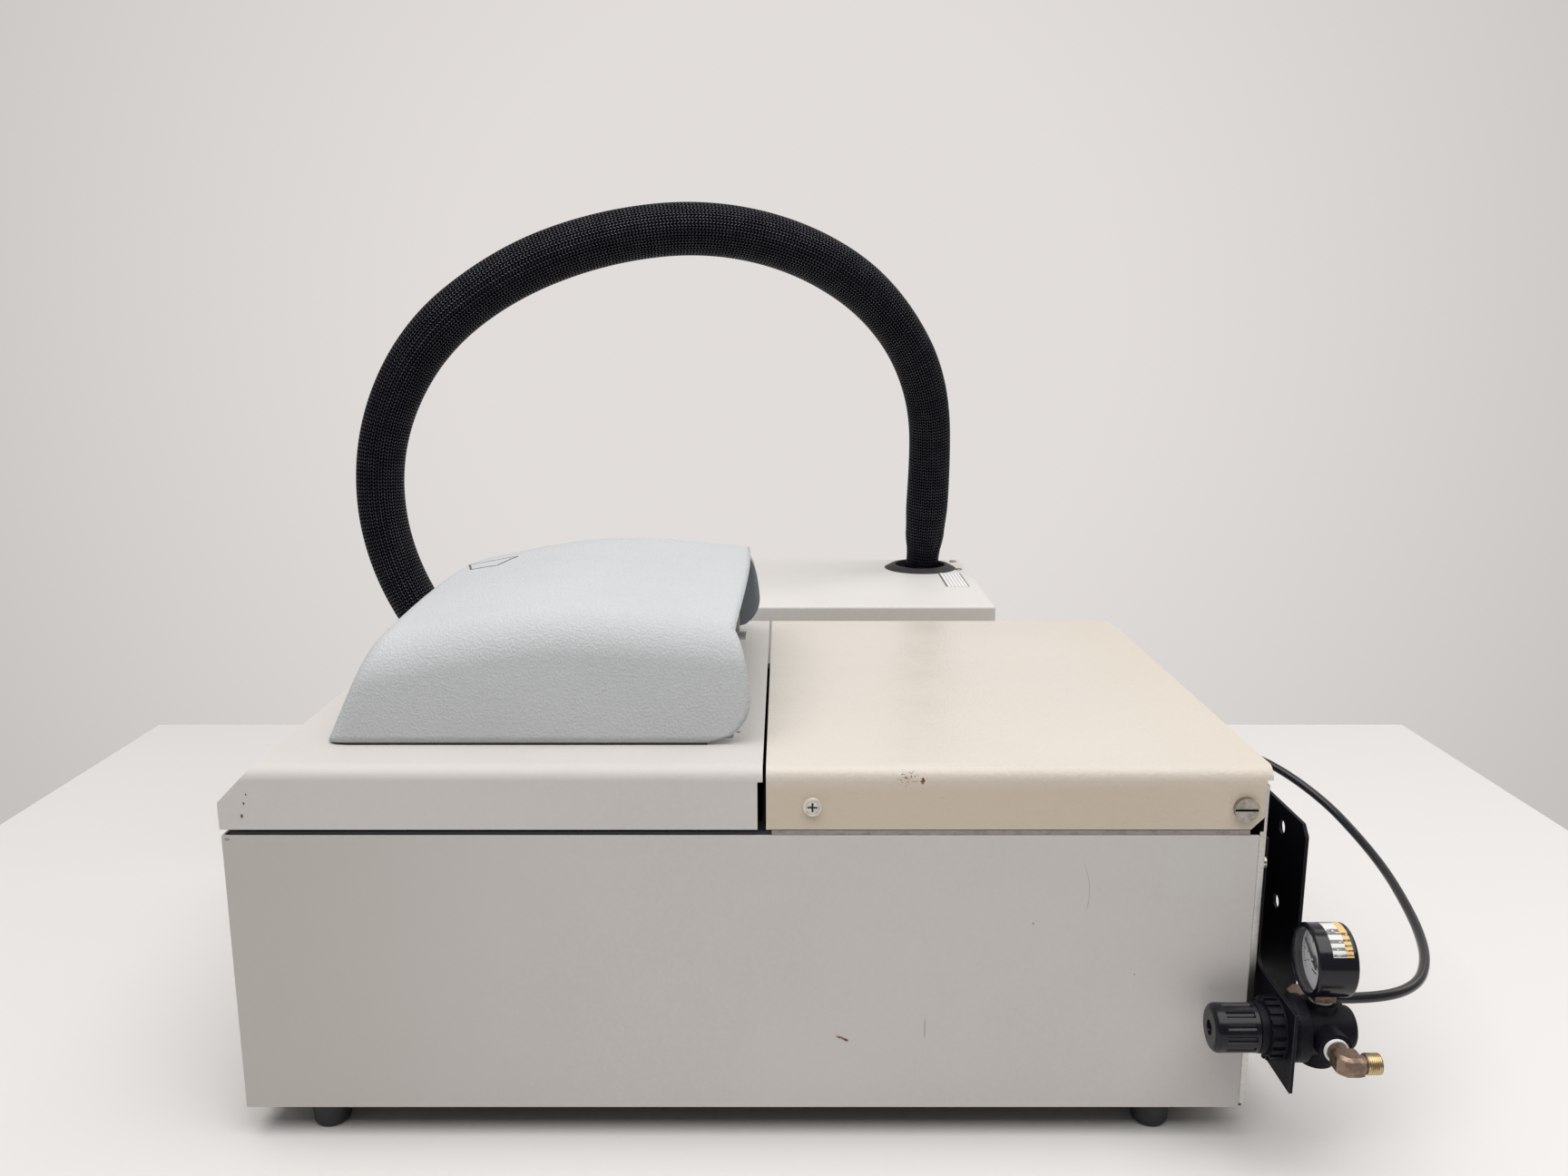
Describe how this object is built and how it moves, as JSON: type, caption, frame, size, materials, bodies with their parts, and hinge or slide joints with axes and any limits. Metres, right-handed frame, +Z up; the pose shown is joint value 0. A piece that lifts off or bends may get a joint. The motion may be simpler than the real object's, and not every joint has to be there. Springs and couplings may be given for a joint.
{
  "type": "bench thermal analyser with cooling unit",
  "caption": "Bench analyser case with a lift-up sample hood, an arched braided cooling hose to a cooler box behind it, and a gas regulator with gauge on a rear bracket.",
  "frame": {"origin": "middle of the base of the object's box, without the free cooling hose and air tube", "axes": "+X along the instrument from its hood end to its rear panel, +Y from the regulator side to the cooling unit, +Z up"},
  "size_m": [0.7535, 0.6494, 0.5411],
  "materials": {
    "case_paint": "fine-textured powder paint, warm grey",
    "deck_paint": "fine-textured powder paint, light grey",
    "cover_paint": "textured paint, yellowed to beige",
    "hood_plastic": "grained moulding, pale blue-grey",
    "cooler_paint": "powder paint, light grey",
    "inner_metal": "black-passivated sheet",
    "screw_white": "white-painted steel",
    "bright_steel": "zinc-plated steel",
    "rubber_black": "moulded rubber",
    "bracket_paint": "black powder paint",
    "regulator_black": "glass-filled black moulding",
    "knob_black": "semi-gloss black",
    "gauge_black": "black enamelled case",
    "dial_white": "printed white dial",
    "needle_black": "black painted pointer",
    "lens_clear": "clear window",
    "aged_brass": "oxidised brass",
    "tape_white": "white sealing tape",
    "hose_braid": "black braided sleeve",
    "tube_black": "black polyurethane tube",
    "cell_silver": "machined",
    "cell_ceramic": "white ceramic insulation",
    "copper": "copper",
    "board_green": "circuit board with parts",
    "black_plastic": "moulded black plastic",
    "compressor_black": "black enamel",
    "fin_aluminium": "fins",
    "guard_chrome": "plated wire"
  },
  "bodies": {
    "root": {"chassis_base": "inner_metal", "side_panel_near": "case_paint", "side_panel_far": "case_paint", "front_panel": "case_paint", "inner_bulkhead": "inner_metal", "rear_panel": "bright_steel", "deck_cover": "deck_paint", "rear_top_cover": "cover_paint", "cover_screws": "screw_white", "cover_thumb_screws": "bright_steel", "rear_panel_screws": "bright_steel", "rubber_feet": "rubber_black", "hood_hinge_brackets": "bright_steel", "hood_hinge_rod": "bright_steel", "cell_flange": "cell_silver", "cell_insulation": "cell_ceramic", "furnace_block": "cell_silver", "sample_pans": "cell_silver", "heat_exchanger": "copper", "hose_elbow": "rubber_black", "cooling_hose": "hose_braid", "circuit_board": "board_green", "power_supply": "bright_steel", "fan_frame": "black_plastic", "fan_guard": "guard_chrome", "mains_inlet": "black_plastic", "power_switch_frame": "black_plastic", "regulator_bracket": "bracket_paint", "bracket_bolts": "bright_steel", "regulator_body": "regulator_black", "regulator_bonnet": "regulator_black", "panel_nut": "regulator_black", "regulator_spring": "bright_steel", "gauge_case": "gauge_black", "gauge_dial": "dial_white", "gauge_lens": "lens_clear", "gauge_stem": "aged_brass", "thread_tape": "tape_white", "inlet_elbow": "aged_brass", "outlet_elbow": "aged_brass", "air_tube": "tube_black", "tube_fitting": "aged_brass", "cooler_base": "inner_metal", "cooler_cover": "cooler_paint", "cooler_feet": "rubber_black", "hose_ring": "rubber_black", "cooler_compressor": "compressor_black", "cooler_condenser": "fin_aluminium", "cooler_fan_frame": "black_plastic", "cooler_switch_frame": "black_plastic"},
    "hood": {"hood_shell": "hood_plastic", "hood_gasket": "rubber_black"},
    "swing_cover": {"cell_cover": "cell_silver"},
    "knob": {"adjusting_knob": "knob_black"},
    "seat": {"spring_seat": "bright_steel"},
    "needle": {"gauge_needle": "needle_black"},
    "case_fan": {"fan_rotor": "black_plastic"},
    "cooler_fan": {"cooler_fan_rotor": "black_plastic"},
    "case_switch": {"power_switch": "black_plastic"},
    "cooler_rocker": {"cooler_switch": "black_plastic"}
  },
  "joints": [
    {"name": "hood_lift", "type": "hinge", "parent": "root", "child": "hood", "pos_m": [-0.044, -0.0913, 0.2413], "axis": [0, 1, 0], "range_deg": [0, 75]},
    {"name": "cell_cover_swing", "type": "hinge", "parent": "root", "child": "swing_cover", "pos_m": [-0.1497, -0.0373, 0.2238], "axis": [0, 0, 1], "range_deg": [0, 100]},
    {"name": "knob_turn", "type": "hinge", "parent": "root", "child": "knob", "pos_m": [0.2468, -0.2853, 0.0785], "axis": [1, 0, 0], "range_deg": [-480, 1320]},
    {"name": "seat_travel", "type": "slide", "parent": "root", "child": "seat", "axis": [1, 0, 0], "range_m": [-0.00134, 0.00368], "deforming": ["regulator_spring"]},
    {"name": "needle_turn", "type": "hinge", "parent": "root", "child": "needle", "pos_m": [0.2749, -0.2853, 0.1176], "axis": [1, 0, 0], "range_deg": [-72.1, 198.1]},
    {"name": "case_fan_spin", "type": "hinge", "parent": "root", "child": "case_fan", "pos_m": [0.2403, -0.0353, 0.11], "axis": [1, 0, 0], "continuous": true},
    {"name": "cooler_fan_spin", "type": "hinge", "parent": "root", "child": "cooler_fan", "pos_m": [0.1553, 0.2147, 0.105], "axis": [1, 0, 0], "continuous": true},
    {"name": "case_switch_rock", "type": "hinge", "parent": "root", "child": "case_switch", "pos_m": [0.2499, -0.0033, 0.05], "axis": [0, -1, 0], "range_deg": [0, 14]},
    {"name": "cooler_switch_rock", "type": "hinge", "parent": "root", "child": "cooler_rocker", "pos_m": [0.1673, 0.1327, 0.188], "axis": [0, -1, 0], "range_deg": [0, 14]}
  ],
  "couplings": [
    {"joint": "seat_travel", "follows": "knob_turn", "m_per_rad": 0.00015915},
    {"joint": "needle_turn", "follows": "knob_turn", "ratio": 0.15}
  ]
}
